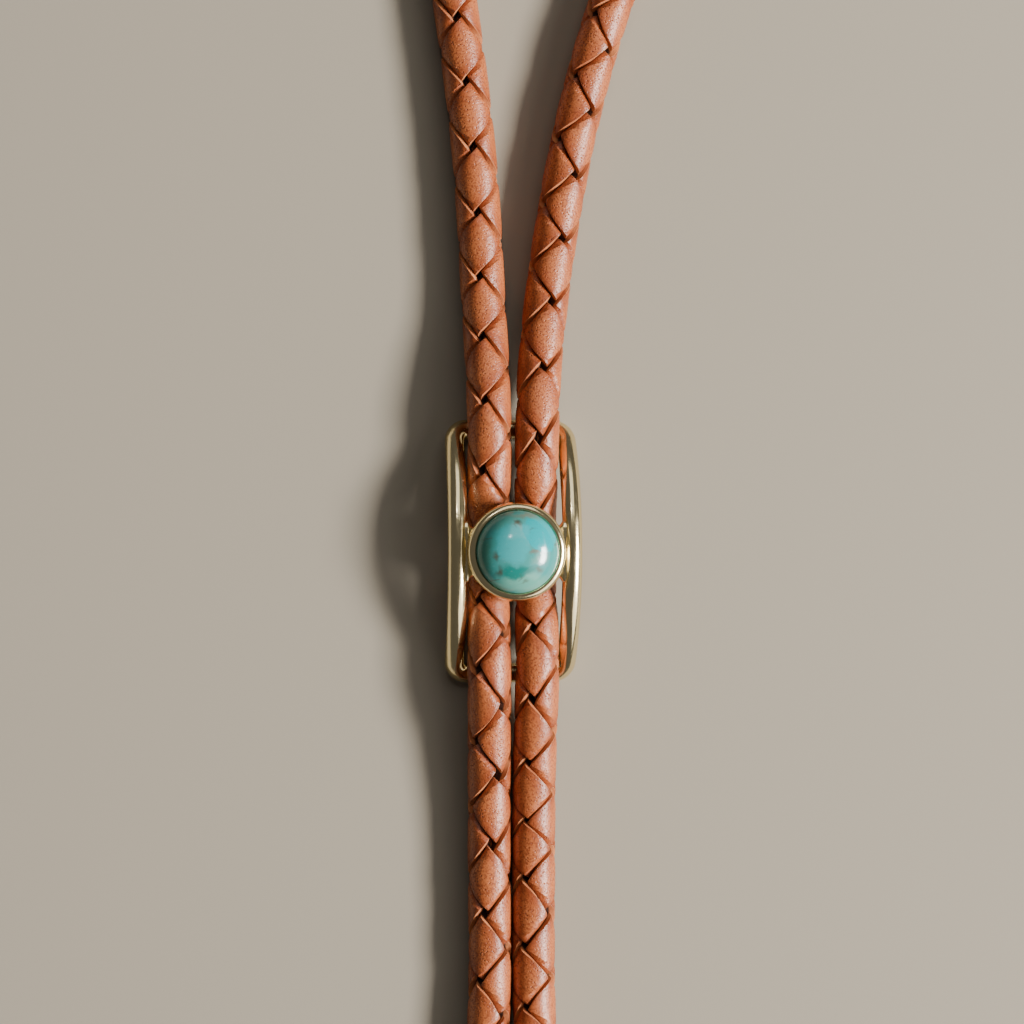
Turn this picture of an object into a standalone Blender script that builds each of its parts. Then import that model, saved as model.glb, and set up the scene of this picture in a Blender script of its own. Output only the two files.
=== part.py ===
"""Bolo tie: a round braided leather cord worn as a neck loop, closed by an arched wire slide.

The slide is a closed loop of brass wire with a bridge across its middle and a cup on the bridge
that holds a domed turquoise stone. Both legs of the cord run over the slide's end bars and under
its bridge, and each free end is finished with a brass tip. The tie lies flat, back side down.

Metres, +Z up, +Y from the slide towards the neck. The slide's middle is at x = y = 0 while the
pieces are made, and the whole tie is then moved so that the origin is the centre of its base.
"""

import math

import bmesh
import bpy
from mathutils import Vector

MM = 0.001

# Cord
CORD_DIAMETER = 4.8 * MM
LEG_GAP = 0.8 * MM
FREE_END_LENGTH = 66.0 * MM

# Wire loop of the slide
WIRE_DIAMETER = 2.3 * MM
SLIDE_LENGTH = 30.8 * MM
ARCH_RISE = 5.85 * MM
SIDE_BOW = 0.15 * MM
CORNER_RADIUS = 1.5 * MM
FOOT_DEPTH = 0.12 * MM

# Bridge and stone cup
BRIDGE_WIDTH = 5.4 * MM
BRIDGE_FLARE = 0.9 * MM
BRIDGE_THICKNESS = 1.3 * MM
BRIDGE_DROP = 0.7 * MM
CUP_WALL = 0.7 * MM
CUP_FLOOR = 0.6 * MM
CUP_DEPTH = 1.5 * MM
CUP_LIP = 0.3 * MM

# Stone
STONE_DIAMETER = 9.5 * MM
STONE_GIRDLE = 0.75 * MM
STONE_DOME = 3.0 * MM

# Tips
TIP_LENGTH = 28.0 * MM
TIP_SOCKET_DEPTH = 8.0 * MM
TIP_WALL = 0.5 * MM
TIP_BEAD = 0.25 * MM
TIP_BEAD_WIDTH = 1.2 * MM
TIP_END_DIAMETER = 4.6 * MM

# Clearances between pieces
CORD_SIDE_GAP = 0.2 * MM
CORD_BAR_GAP = 0.4 * MM
CORD_BRIDGE_GAP = 0.35 * MM
STONE_GAP = 0.3 * MM
TIP_GAP = 0.3 * MM

# Facets
WIRE_SIDES = 12
CUP_SIDES = 48
STONE_SIDES = 36
TIP_SIDES = 24
CORD_BEVEL_RESOLUTION = 4
SIDE_BAR_STEPS = 18
CORNER_STEPS = 5
DOME_STEPS = 8

# The cord's route, seen from above, in millimetres from the slide's middle.
# Rows of a leg have the columns: distance outside the leg's place in the slide, distance up
# the tie, and lift off the surface as a share of the lift over an end bar.
LEFT_FREE_END = (
    (-0.25, -54.0, 0.0),
    (-0.30, -36.0, 0.0),
    (-0.20, -24.5, 0.3),
)
LEFT_NECK_LEG = (
    (0.15, 22.5, 0.45),
    (0.40, 28.5, 0.05),
    (1.20, 42.5, 0.0),
    (2.00, 51.0, 0.0),
    (3.60, 63.0, 0.0),
)
RIGHT_NECK_LEG = (
    (9.60, 66.0, 0.0),
    (5.20, 51.0, 0.0),
    (2.40, 36.5, 0.0),
    (0.55, 22.5, 0.45),
)
RIGHT_FREE_END = (
    (-0.10, -24.5, 0.3),
    (-0.10, -36.0, 0.0),
    (0.00, -54.0, 0.0),
)
# Rows of the neck loop have the columns: distance across and distance up the tie.
NECK_LOOP = (
    (-9.6, 82.0),
    (-15.5, 104.0),
    (-24.0, 129.0),
    (-34.5, 156.0),
    (-45.5, 185.0),
    (-54.0, 215.0),
    (-58.0, 246.0),
    (-54.0, 275.0),
    (-40.0, 299.0),
    (-18.0, 313.0),
    (8.0, 316.0),
    (33.0, 308.5),
    (53.0, 291.5),
    (65.0, 268.0),
    (69.0, 240.0),
    (66.0, 210.0),
    (58.5, 180.0),
    (48.5, 152.0),
    (38.0, 126.0),
    (28.5, 103.0),
    (19.5, 82.5),
)
LONG_STEP = 15.7 * MM
SHORT_STEP = 8.8 * MM

# Surface finishes: base colour, metallic, roughness
LEATHER = ("tan leather", (0.46, 0.18, 0.08), 0.0, 0.5)
BRASS = ("polished brass", (0.72, 0.56, 0.27), 1.0, 0.22)
TURQUOISE = ("turquoise", (0.12, 0.48, 0.45), 0.0, 0.15)

# Sizes worked out from the ones above
CORD_RADIUS = CORD_DIAMETER / 2
WIRE_RADIUS = WIRE_DIAMETER / 2
LEG_OFFSET = (CORD_DIAMETER + LEG_GAP) / 2
END_BAR_Y = SLIDE_LENGTH / 2 - WIRE_RADIUS
END_BAR_Z = WIRE_RADIUS - FOOT_DEPTH
SIDE_BAR_X = LEG_OFFSET + CORD_RADIUS + CORD_SIDE_GAP + WIRE_RADIUS
ARCH_RADIUS = (END_BAR_Y ** 2 + ARCH_RISE ** 2) / (2 * ARCH_RISE)
ARCH_TOP_Z = END_BAR_Z + ARCH_RISE
CORD_LIFT = END_BAR_Z + WIRE_RADIUS + CORD_BAR_GAP
BRIDGE_UNDER_Z = ARCH_TOP_Z - BRIDGE_DROP
BRIDGE_TOP_Z = BRIDGE_UNDER_Z + BRIDGE_THICKNESS
CORD_UNDER_BRIDGE_Z = BRIDGE_UNDER_Z - CORD_BRIDGE_GAP - CORD_RADIUS
STONE_RADIUS = STONE_DIAMETER / 2
CUP_INNER_RADIUS = STONE_RADIUS + STONE_GAP
CUP_RADIUS = CUP_INNER_RADIUS + CUP_WALL
CUP_BASE_Z = BRIDGE_TOP_Z - CUP_FLOOR / 2
CUP_SEAT_Z = CUP_BASE_Z + CUP_FLOOR
CUP_RIM_Z = CUP_SEAT_Z + CUP_DEPTH
STONE_BASE_Z = CUP_SEAT_Z + STONE_GAP
TIP_SOCKET_RADIUS = CORD_RADIUS + TIP_GAP
TIP_RADIUS = TIP_SOCKET_RADIUS + TIP_WALL
TIP_BEAD_RADIUS = TIP_RADIUS + TIP_BEAD
TIP_OFFSET = max(TIP_BEAD_RADIUS + TIP_GAP / 2, LEG_OFFSET)
CORD_END_LENGTH = FREE_END_LENGTH + TIP_SOCKET_DEPTH - TIP_GAP


def clear_scene():
    """Remove every object that the file opens with."""
    for obj in list(bpy.data.objects):
        bpy.data.objects.remove(obj, do_unlink=True)


def make_material(finish):
    """A Principled material from a row of name, base colour, metallic and roughness."""
    name, colour, metallic, roughness = finish
    material = bpy.data.materials.new(name)
    material.use_nodes = True
    shader = material.node_tree.nodes["Principled BSDF"]
    shader.inputs["Base Color"].default_value = (*colour, 1.0)
    shader.inputs["Metallic"].default_value = metallic
    shader.inputs["Roughness"].default_value = roughness
    return material


def add_object(name, data, parent, finish=None):
    """Link an object that holds the given mesh or curve and hangs on the parent."""
    obj = bpy.data.objects.new(name, data)
    bpy.context.collection.objects.link(obj)
    obj.parent = parent
    if finish:
        data.materials.append(make_material(finish))
    return obj


def mesh_from(bm, name):
    """Write a bmesh to a new smooth-shaded mesh with its faces pointing outwards."""
    bmesh.ops.recalc_face_normals(bm, faces=bm.faces)
    mesh = bpy.data.meshes.new(name)
    bm.to_mesh(mesh)
    bm.free()
    mesh.shade_smooth()
    mesh.set_sharp_from_angle(angle=math.radians(35))
    return mesh


def turned(profile, sides, name):
    """A solid turned about Z from (radius, height) points whose first and last radius is 0."""
    bm = bmesh.new()
    bottom = bm.verts.new((0, 0, profile[0][1]))
    top = bm.verts.new((0, 0, profile[-1][1]))
    rings = []
    for radius, height in profile[1:-1]:
        ring = []
        for i in range(sides):
            angle = 2 * math.pi * i / sides
            ring.append(bm.verts.new((radius * math.cos(angle), radius * math.sin(angle), height)))
        rings.append(ring)
    for i in range(sides):
        j = (i + 1) % sides
        bm.faces.new((bottom, rings[0][j], rings[0][i]))
        bm.faces.new((top, rings[-1][i], rings[-1][j]))
        for lower, upper in zip(rings, rings[1:]):
            bm.faces.new((lower[i], lower[j], upper[j], upper[i]))
    return mesh_from(bm, name)


def smooth_curve(rows, steps):
    """Points on a centripetal Catmull-Rom curve through the rows, steps[i] of them in span i."""
    first = 2 * rows[0] - rows[1]
    last = 2 * rows[-1] - rows[-2]
    knots = [first, *rows, last]
    points = []
    for i, count in enumerate(steps, start=1):
        before, start, end, after = knots[i - 1:i + 3]
        d0 = math.sqrt((start - before).length)
        d1 = math.sqrt((end - start).length)
        d2 = math.sqrt((after - end).length)
        chord = end - start
        leave = chord + d1 * ((start - before) / d0 - (end - before) / (d0 + d1))
        arrive = chord + d1 * ((after - end) / d2 - (after - start) / (d1 + d2))
        for k in range(count):
            t = k / count
            points.append(
                (2 * t ** 3 - 3 * t ** 2 + 1) * start
                + (t ** 3 - 2 * t ** 2 + t) * leave
                + (3 * t ** 2 - 2 * t ** 3) * end
                + (t ** 3 - t ** 2) * arrive
            )
    points.append(rows[-1])
    return points


def leg_points(rows, side):
    """Places of a leg's rows; side is -1 for the left leg and 1 for the right one."""
    return [
        Vector((side * (LEG_OFFSET + out * MM), up * MM, CORD_RADIUS + lift * CORD_LIFT))
        for out, up, lift in rows
    ]


def slide_pass(side):
    """A leg's places over the lower end bar, under the bridge and over the upper end bar."""
    over_z = CORD_RADIUS + CORD_LIFT
    heights = ((-END_BAR_Y, over_z), (0, CORD_UNDER_BRIDGE_Z), (END_BAR_Y, over_z))
    return [Vector((side * LEG_OFFSET, y, z)) for y, z in heights]


def tip_stretch(side):
    """A leg's places at the end of the cord and at the mouth of its tip."""
    return [
        Vector((side * TIP_OFFSET, -distance, TIP_BEAD_RADIUS))
        for distance in (CORD_END_LENGTH, FREE_END_LENGTH)
    ]


def cord_points():
    """The cord's centre line from the left free end, round the neck, to the right free end."""
    rows = tip_stretch(-1) + leg_points(LEFT_FREE_END, -1) + slide_pass(-1)
    rows += leg_points(LEFT_NECK_LEG, -1)
    rows += [Vector((across * MM, up * MM, CORD_RADIUS)) for across, up in NECK_LOOP]
    rows += leg_points(RIGHT_NECK_LEG, 1) + slide_pass(1)[::-1]
    rows += leg_points(RIGHT_FREE_END, 1) + tip_stretch(1)[::-1]
    steps = []
    for start, end in zip(rows, rows[1:]):
        flat = max(start.z, end.z) < CORD_RADIUS + CORD_LIFT * 0.2
        steps.append(math.ceil((end - start).length / (LONG_STEP if flat else SHORT_STEP)))
    points = smooth_curve(rows, steps)
    for point in points:
        point.z = max(point.z, CORD_RADIUS)
    return points


def make_cord(parent):
    """The braided cord as one plain tube; its laces are fine surface."""
    curve = bpy.data.curves.new("braided_cord", "CURVE")
    curve.dimensions = "3D"
    curve.twist_mode = "Z_UP"
    curve.bevel_depth = CORD_RADIUS
    curve.bevel_resolution = CORD_BEVEL_RESOLUTION
    curve.use_fill_caps = True
    spline = curve.splines.new("POLY")
    points = cord_points()
    spline.points.add(len(points) - 1)
    for target, point in zip(spline.points, points):
        target.co = (*point, 1.0)
    return add_object("braided_cord", curve, parent, LEATHER)


def arch_height(y):
    """Height of the wire's centre line at a distance along the slide."""
    return ARCH_TOP_Z - ARCH_RADIUS + math.sqrt(ARCH_RADIUS ** 2 - y ** 2)


def side_bar_x(y):
    """Distance of a side bar's centre line from the slide's middle line."""
    return SIDE_BAR_X + SIDE_BOW * (1 - (y / END_BAR_Y) ** 2)


def wire_path():
    """The closed centre line of the wire loop, counter-clockwise from its lower right corner."""
    straight = END_BAR_Y - CORNER_RADIUS
    quarter = []
    for i in range(SIDE_BAR_STEPS + 1):
        y = straight * (2 * i / SIDE_BAR_STEPS - 1)
        quarter.append((side_bar_x(y), y))
    corner_x = side_bar_x(straight) - CORNER_RADIUS
    for i in range(1, CORNER_STEPS + 1):
        angle = math.pi / 2 * i / CORNER_STEPS
        x = corner_x + CORNER_RADIUS * math.cos(angle)
        quarter.append((x, straight + CORNER_RADIUS * math.sin(angle)))
    for i in range(CORNER_STEPS):
        angle = math.pi / 2 * (1 + i / CORNER_STEPS)
        x = -corner_x + CORNER_RADIUS * math.cos(angle)
        quarter.append((x, straight + CORNER_RADIUS * math.sin(angle)))
    half = [Vector((x, y, arch_height(y))) for x, y in quarter]
    return half + [Vector((-point.x, -point.y, point.z)) for point in half]


def wire_loop_mesh():
    """The wire loop, with the undersides of its end bars ground flat."""
    path = wire_path()
    bm = bmesh.new()
    rings = []
    for i, centre in enumerate(path):
        along = (path[(i + 1) % len(path)] - path[i - 1]).normalized()
        across = along.cross(Vector((0, 0, 1))).normalized()
        up = across.cross(along)
        ring = []
        for k in range(WIRE_SIDES):
            angle = 2 * math.pi * (k + 0.5) / WIRE_SIDES
            offset = across * math.cos(angle) + up * math.sin(angle)
            ring.append(bm.verts.new(centre + offset * WIRE_RADIUS))
        rings.append(ring)
    for i, ring in enumerate(rings):
        after = rings[(i + 1) % len(rings)]
        for k in range(WIRE_SIDES):
            m = (k + 1) % WIRE_SIDES
            bm.faces.new((ring[k], ring[m], after[m], after[k]))
    everything = bm.verts[:] + bm.edges[:] + bm.faces[:]
    cut = bmesh.ops.bisect_plane(
        bm, geom=everything, plane_co=(0, 0, 0), plane_no=(0, 0, -1), clear_outer=True
    )
    edges = [item for item in cut["geom_cut"] if isinstance(item, bmesh.types.BMEdge)]
    bmesh.ops.holes_fill(bm, edges=edges)
    return mesh_from(bm, "wire_loop")


def bridge_mesh():
    """The strip across the side bars, wider where it is filleted into them."""
    reach = side_bar_x(0)
    inner = reach - WIRE_RADIUS
    sections = ((reach, 1.0), (inner, 0.8), (inner - BRIDGE_FLARE / 2, 0.25), (inner - BRIDGE_FLARE, 0.0))
    bm = bmesh.new()
    rings = []
    for side in (-1, 1):
        for x, flare in sections if side < 0 else sections[::-1]:
            half_width = BRIDGE_WIDTH / 2 + BRIDGE_FLARE * flare
            corners = (
                (-half_width, BRIDGE_UNDER_Z),
                (half_width, BRIDGE_UNDER_Z),
                (half_width, BRIDGE_TOP_Z),
                (-half_width, BRIDGE_TOP_Z),
            )
            rings.append([bm.verts.new((side * x, y, z)) for y, z in corners])
    for ring, after in zip(rings, rings[1:]):
        for k in range(4):
            m = (k + 1) % 4
            bm.faces.new((ring[k], ring[m], after[m], after[k]))
    bm.faces.new(rings[0])
    bm.faces.new(rings[-1])
    return mesh_from(bm, "bridge")


def cup_mesh():
    """The stone cup, turned, with a rounded rim whose lip leans in over the stone."""
    edge = CUP_WALL / 2
    lip_radius = CUP_INNER_RADIUS - CUP_LIP / 2
    profile = (
        (0, CUP_BASE_Z),
        (CUP_RADIUS - edge, CUP_BASE_Z),
        (CUP_RADIUS, CUP_BASE_Z + edge),
        (CUP_RADIUS, CUP_RIM_Z - CUP_WALL * 0.7),
        (CUP_RADIUS - CUP_WALL * 0.12, CUP_RIM_Z - CUP_WALL * 0.3),
        (CUP_RADIUS - CUP_WALL * 0.38, CUP_RIM_Z - CUP_WALL * 0.05),
        (CUP_RADIUS - CUP_WALL * 0.7, CUP_RIM_Z),
        (lip_radius + CUP_LIP * 0.2, CUP_RIM_Z - CUP_WALL * 0.12),
        (lip_radius, CUP_RIM_Z - CUP_LIP),
        (CUP_INNER_RADIUS, CUP_RIM_Z - CUP_LIP * 2),
        (CUP_INNER_RADIUS, CUP_SEAT_Z),
        (0, CUP_SEAT_Z),
    )
    return turned(profile, CUP_SIDES, "stone_cup")


def make_slide(parent):
    """Wire loop, bridge and stone cup soldered into one solid."""
    slide = add_object("slide_frame", wire_loop_mesh(), parent, BRASS)
    for mesh in (bridge_mesh(), cup_mesh()):
        piece = add_object(mesh.name, mesh, parent)
        piece.hide_render = True
        piece.display_type = "WIRE"
        solder = slide.modifiers.new(mesh.name, "BOOLEAN")
        solder.operation = "UNION"
        solder.solver = "EXACT"
        solder.object = piece
    return slide


def make_stone(parent):
    """The domed stone on the floor of the cup."""
    profile = [(0, 0), (STONE_RADIUS * 0.96, 0), (STONE_RADIUS, STONE_GIRDLE * 0.25)]
    for i in range(DOME_STEPS):
        angle = math.pi / 2 * i / DOME_STEPS
        profile.append((STONE_RADIUS * math.cos(angle), STONE_GIRDLE + STONE_DOME * math.sin(angle)))
    profile.append((0, STONE_GIRDLE + STONE_DOME))
    stone = add_object("cabochon", turned(profile, STONE_SIDES, "cabochon"), parent, TURQUOISE)
    stone.location.z = STONE_BASE_Z
    return stone


def make_tip(name, side, parent):
    """A tapered tip whose socket takes the end of one leg of the cord."""
    end_radius = TIP_END_DIAMETER / 2
    bead = TIP_BEAD_WIDTH
    profile = [(0, TIP_SOCKET_DEPTH), (TIP_SOCKET_RADIUS, TIP_SOCKET_DEPTH), (TIP_SOCKET_RADIUS, 0)]
    profile += [(TIP_RADIUS, 0), (TIP_BEAD_RADIUS, bead * 0.3), (TIP_BEAD_RADIUS, bead * 0.7)]
    profile.append((TIP_RADIUS, bead))
    for i in range(DOME_STEPS):
        angle = math.pi / 2 * i / DOME_STEPS
        height = TIP_LENGTH - end_radius + end_radius * math.sin(angle)
        profile.append((end_radius * math.cos(angle), height))
    profile.append((0, TIP_LENGTH))
    tip = add_object(name, turned(profile, TIP_SIDES, name), parent, BRASS)
    tip.location = (side * TIP_OFFSET, -FREE_END_LENGTH, TIP_BEAD_RADIUS)
    tip.rotation_euler.x = math.pi / 2
    return tip


def stand_on_origin(root, pieces):
    """Move the root so that the centre of the tie's base comes to the origin."""
    bpy.context.view_layer.update()
    graph = bpy.context.evaluated_depsgraph_get()
    places = []
    for piece in pieces:
        shape = piece.evaluated_get(graph)
        mesh = shape.to_mesh()
        places += [shape.matrix_world @ vertex.co for vertex in mesh.vertices]
        shape.to_mesh_clear()
    low = [min(place[axis] for place in places) for axis in range(3)]
    high = [max(place[axis] for place in places) for axis in range(3)]
    root.location = (-(low[0] + high[0]) / 2, -(low[1] + high[1]) / 2, -low[2])


def main():
    """Build the tie."""
    clear_scene()
    root = add_object("tie_origin", None, None)
    pieces = [
        make_cord(root),
        make_slide(root),
        make_stone(root),
        make_tip("cord_tip_left", -1, root),
        make_tip("cord_tip_right", 1, root),
    ]
    stand_on_origin(root, pieces)


main()
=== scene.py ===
"""Bolo tie: its braided leather cord, brass slide, domed turquoise and cord tips.

The pieces are made about the slide's middle, in metres, with +Y from the slide towards the neck
and +Z away from the surface that the tie lies on. TiePlacement then moves them to the CAD frame.
"""

import itertools
import logging
import math
from dataclasses import dataclass
from enum import Enum
from typing import Iterable, Sequence
import bpy
import numpy as np
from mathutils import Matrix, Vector


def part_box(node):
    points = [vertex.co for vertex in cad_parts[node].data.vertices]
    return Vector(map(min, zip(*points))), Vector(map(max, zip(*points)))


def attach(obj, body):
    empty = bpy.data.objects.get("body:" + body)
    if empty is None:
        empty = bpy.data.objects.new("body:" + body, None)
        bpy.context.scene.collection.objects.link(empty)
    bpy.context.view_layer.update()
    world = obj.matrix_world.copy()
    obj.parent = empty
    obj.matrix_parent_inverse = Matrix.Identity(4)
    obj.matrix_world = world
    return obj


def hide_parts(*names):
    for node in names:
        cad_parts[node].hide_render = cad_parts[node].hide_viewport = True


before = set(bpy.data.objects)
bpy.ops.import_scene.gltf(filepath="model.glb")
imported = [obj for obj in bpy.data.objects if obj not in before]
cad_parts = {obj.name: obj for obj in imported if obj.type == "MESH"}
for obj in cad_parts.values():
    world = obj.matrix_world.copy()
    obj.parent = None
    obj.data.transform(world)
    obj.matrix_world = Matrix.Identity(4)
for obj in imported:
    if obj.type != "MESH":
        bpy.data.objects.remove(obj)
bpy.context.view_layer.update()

MM = 0.001
BODY = "root"
TAU = 2 * math.pi
QUARTER = math.pi / 2
TURNED_EDGE = math.radians(50)
PLACE_NOTE = "lace_place"
LAY_NOTE = "lace_lay"

# Places of a Mix node's colour sockets, whose names its other sockets share.
MIX_COLOURS = (6, 7)
MIX_RESULT = 2

Span = tuple[float, float]
Colour = tuple[float, float, float]
Rows = tuple[tuple[float, ...], ...]

LOG = logging.getLogger("bolo_tie")


class MaterialSlot(Enum):
    """The material slots that the part's record names."""

    LEATHER = "braided_leather"
    BRASS = "brass"
    STONE = "turquoise"


class Hand(Enum):
    """The way a lace turns round the cord as it goes along it."""

    RIGHT = 1
    LEFT = -1


@dataclass(frozen=True)
class TiePlacement:
    """Place of the slide's middle in the CAD frame."""

    across: float
    along: float

    @classmethod
    def from_frame(cls) -> "TiePlacement":
        """The middle of the CAD slide, on the surface that it lies on."""
        low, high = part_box("slide_frame")
        return cls((low[0] + high[0]) / 2, (low[1] + high[1]) / 2)

    def move(self, obj: bpy.types.Object, across: float = 0.0, along: float = 0.0, up: float = 0.0) -> None:
        """Put an object at a place given from the slide's middle.

        Args:
            obj: the object to move.
            across: distance to the right of the slide's middle.
            along: distance towards the neck.
            up: height over the surface.
        """
        obj.location = (self.across + across, self.along + along, up)


def new_object(name: str, data: bpy.types.ID) -> bpy.types.Object:
    """An object in the scene that holds the given data.

    Args:
        name: the object's name.
        data: its mesh, light or camera.

    Returns:
        The object.
    """
    obj = bpy.data.objects.new(name, data)
    bpy.context.scene.collection.objects.link(obj)
    return obj


def ring_faces(rings: int, sides: int, closed: bool) -> np.ndarray:
    """Quads between neighbouring rings of vertices.

    Args:
        rings: how many rings there are.
        sides: vertices in each ring.
        closed: whether the last ring joins the first one.

    Returns:
        An array of four vertex numbers a row.
    """
    starts = np.arange(rings if closed else rings - 1)
    here = (starts[:, None] * sides + np.arange(sides)[None, :]).ravel()
    beside = (starts[:, None] * sides + (np.arange(sides)[None, :] + 1) % sides).ravel()
    step = ((starts + 1) % rings)[:, None] * sides
    after = (step + np.arange(sides)[None, :]).ravel()
    opposite = (step + (np.arange(sides)[None, :] + 1) % sides).ravel()
    return np.stack([here, beside, opposite, after], axis=1)


def faces_inward(places: np.ndarray, quads: np.ndarray) -> bool:
    """Whether quads round a shape face into it, by the sign of the volume that they span.

    Args:
        places: the places of the vertices.
        quads: four vertex numbers a row.

    Returns:
        True where the faces have to be turned over.
    """
    a, b, c, d = (places[quads[:, k]] for k in range(4))
    return bool((a * (np.cross(b, c) + np.cross(c, d))).sum() < 0.0)


def lofted_mesh(name: str, rings: np.ndarray, closed: bool = False) -> bpy.types.Mesh:
    """A closed mesh through rings of vertices, capped at both ends unless it closes on itself.

    Args:
        name: the mesh's name.
        rings: places with the shape (rings, sides, 3).
        closed: whether the last ring joins the first one.

    Returns:
        The mesh, smooth shaded, with its faces pointing outwards.
    """
    count, sides, _ = rings.shape
    places = rings.reshape(-1, 3)
    quads = ring_faces(count, sides, closed)
    faces = quads.tolist()
    if not closed:
        faces += [list(range(sides))[::-1], list(range((count - 1) * sides, count * sides))]
    if faces_inward(places, quads):
        faces = [face[::-1] for face in faces]
    mesh = bpy.data.meshes.new(name)
    mesh.from_pydata(places.tolist(), [], faces)
    mesh.shade_smooth()
    return mesh


def arc(steps: int, first: float, last: float) -> list[tuple[float, float]]:
    """Cosine and sine at even steps from one angle to another, both ends included."""
    return [(math.cos(angle), math.sin(angle)) for angle in np.linspace(first, last, steps + 1)]


def turned_mesh(name: str, profile: Sequence[tuple[float, float]], sides: int) -> bpy.types.Mesh:
    """A closed mesh turned about Z.

    Args:
        name: the mesh's name.
        profile: (radius, height) places, from the axis back to the axis.
        sides: how many sides the turned shape has.

    Returns:
        The mesh, smooth shaded, with its faces pointing outwards.
    """
    angles = np.arange(sides) * TAU / sides
    inner = np.array(profile[1:-1])
    rings = np.empty((len(inner), sides, 3))
    rings[:, :, 0] = inner[:, 0:1] * np.cos(angles)
    rings[:, :, 1] = inner[:, 0:1] * np.sin(angles)
    rings[:, :, 2] = inner[:, 1:2]
    places = rings.reshape(-1, 3).tolist()
    foot, peak = len(places), len(places) + 1
    places += [(0.0, 0.0, profile[0][1]), (0.0, 0.0, profile[-1][1])]
    faces = ring_faces(len(inner), sides, False).tolist()
    last = (len(inner) - 1) * sides
    for k in range(sides):
        following = (k + 1) % sides
        faces.append([foot, following, k])
        faces.append([peak, last + k, last + following])
    mesh = bpy.data.meshes.new(name)
    mesh.from_pydata(places, [], faces)
    mesh.shade_smooth()
    mesh.set_sharp_from_angle(angle=TURNED_EDGE)
    return mesh


class NodeBench:
    """Lays out the nodes of one material or group."""

    def __init__(self, tree: bpy.types.NodeTree) -> None:
        """Work on the given tree."""
        self.tree = tree

    def add(self, kind: str, inputs: dict | None = None, **settings: object) -> bpy.types.Node:
        """Add a node.

        Args:
            kind: the node's class name without its ShaderNode prefix.
            inputs: values or sockets by input name or number.
            settings: the node's own properties.

        Returns:
            The new node.
        """
        node = self.tree.nodes.new(kind if kind.startswith("Node") else f"ShaderNode{kind}")
        for name, value in settings.items():
            setattr(node, name, value)
        for key, value in (inputs or {}).items():
            self.feed(node.inputs[key], value)
        return node

    def feed(self, target: bpy.types.NodeSocket, value: object) -> None:
        """Wire a socket to an input, or set the input's own value.

        Args:
            target: the input.
            value: the socket or value that it takes.
        """
        if isinstance(value, bpy.types.NodeSocket):
            self.tree.links.new(value, target)
        else:
            target.default_value = value

    def math(self, operation: str, a: object, b: object = 0.0) -> bpy.types.NodeSocket:
        """The result of a Math node on two values or sockets."""
        return self.add("Math", {0: a, 1: b}, operation=operation).outputs[0]

    def scale(self, value: object, share: object, base: object = 0.0) -> bpy.types.NodeSocket:
        """A value times a share, plus a base."""
        return self.add("Math", {0: value, 1: share, 2: base}, operation="MULTIPLY_ADD").outputs[0]

    def ramp(
        self, value: object, low: float, high: float, to_low: float = 0.0, to_high: float = 1.0
    ) -> bpy.types.NodeSocket:
        """A smooth step of a value, clamped at both ends.

        Args:
            value: the socket that steps.
            low: where the step starts.
            high: where the step ends.
            to_low: the result at its start and before it.
            to_high: the result at its end and after it.

        Returns:
            The result.
        """
        inputs = {"Value": value, "From Min": low, "From Max": high, "To Min": to_low, "To Max": to_high}
        return self.add("MapRange", inputs, interpolation_type="SMOOTHSTEP").outputs["Result"]

    def blend(self, factor: object, a: object, b: object) -> bpy.types.NodeSocket:
        """Two colours mixed.

        Args:
            factor: how far the second colour covers the first one.
            a: the first colour or its socket.
            b: the second colour or its socket.

        Returns:
            The mixed colour.
        """
        node = self.add("Mix", data_type="RGBA", clamp_factor=True)
        self.feed(node.inputs["Factor"], factor)
        for slot, colour in zip(MIX_COLOURS, (a, b)):
            linked = isinstance(colour, bpy.types.NodeSocket)
            self.feed(node.inputs[slot], colour if linked else (*colour, 1.0))
        return node.outputs[MIX_RESULT]

    def noise(
        self, place: object, scale: object, detail: float = 3.0, roughness: float = 0.5
    ) -> bpy.types.Node:
        """A noise texture node at a place."""
        inputs = {"Vector": place, "Scale": scale, "Detail": detail, "Roughness": roughness}
        return self.add("TexNoise", inputs)

    def shift(self, place: object, amount: float, scale: float) -> bpy.types.NodeSocket:
        """A place moved about by noise, so that what is drawn there isn't regular.

        Args:
            place: the place's socket.
            amount: how far it moves, in metres.
            scale: the noise's scale.

        Returns:
            The moved place.
        """
        noise = self.noise(place, scale, 2.0).outputs["Color"]
        centred = self.add("VectorMath", {0: noise, 1: (0.5, 0.5, 0.5)}, operation="SUBTRACT")
        moved = self.add("VectorMath", {0: centred.outputs[0], "Scale": amount}, operation="SCALE")
        return self.add("VectorMath", {0: place, 1: moved.outputs[0]}, operation="ADD").outputs[0]

    def finish_surface(
        self, shader: bpy.types.Node, tone: object, roughness: object, height: object, bump_sizes: Span
    ) -> None:
        """Wire a colour, a roughness and a bump to a shader.

        Args:
            shader: the Principled shader.
            tone: the colour's socket.
            roughness: the roughness's socket.
            height: the height that the bump follows.
            bump_sizes: the bump's strength and its depth in metres.
        """
        self.feed(shader.inputs["Base Color"], tone)
        self.feed(shader.inputs["Roughness"], roughness)
        strength, depth = bump_sizes
        bump = self.add("Bump", {"Height": height, "Strength": strength, "Distance": depth})
        self.feed(shader.inputs["Normal"], bump.outputs[0])


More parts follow.
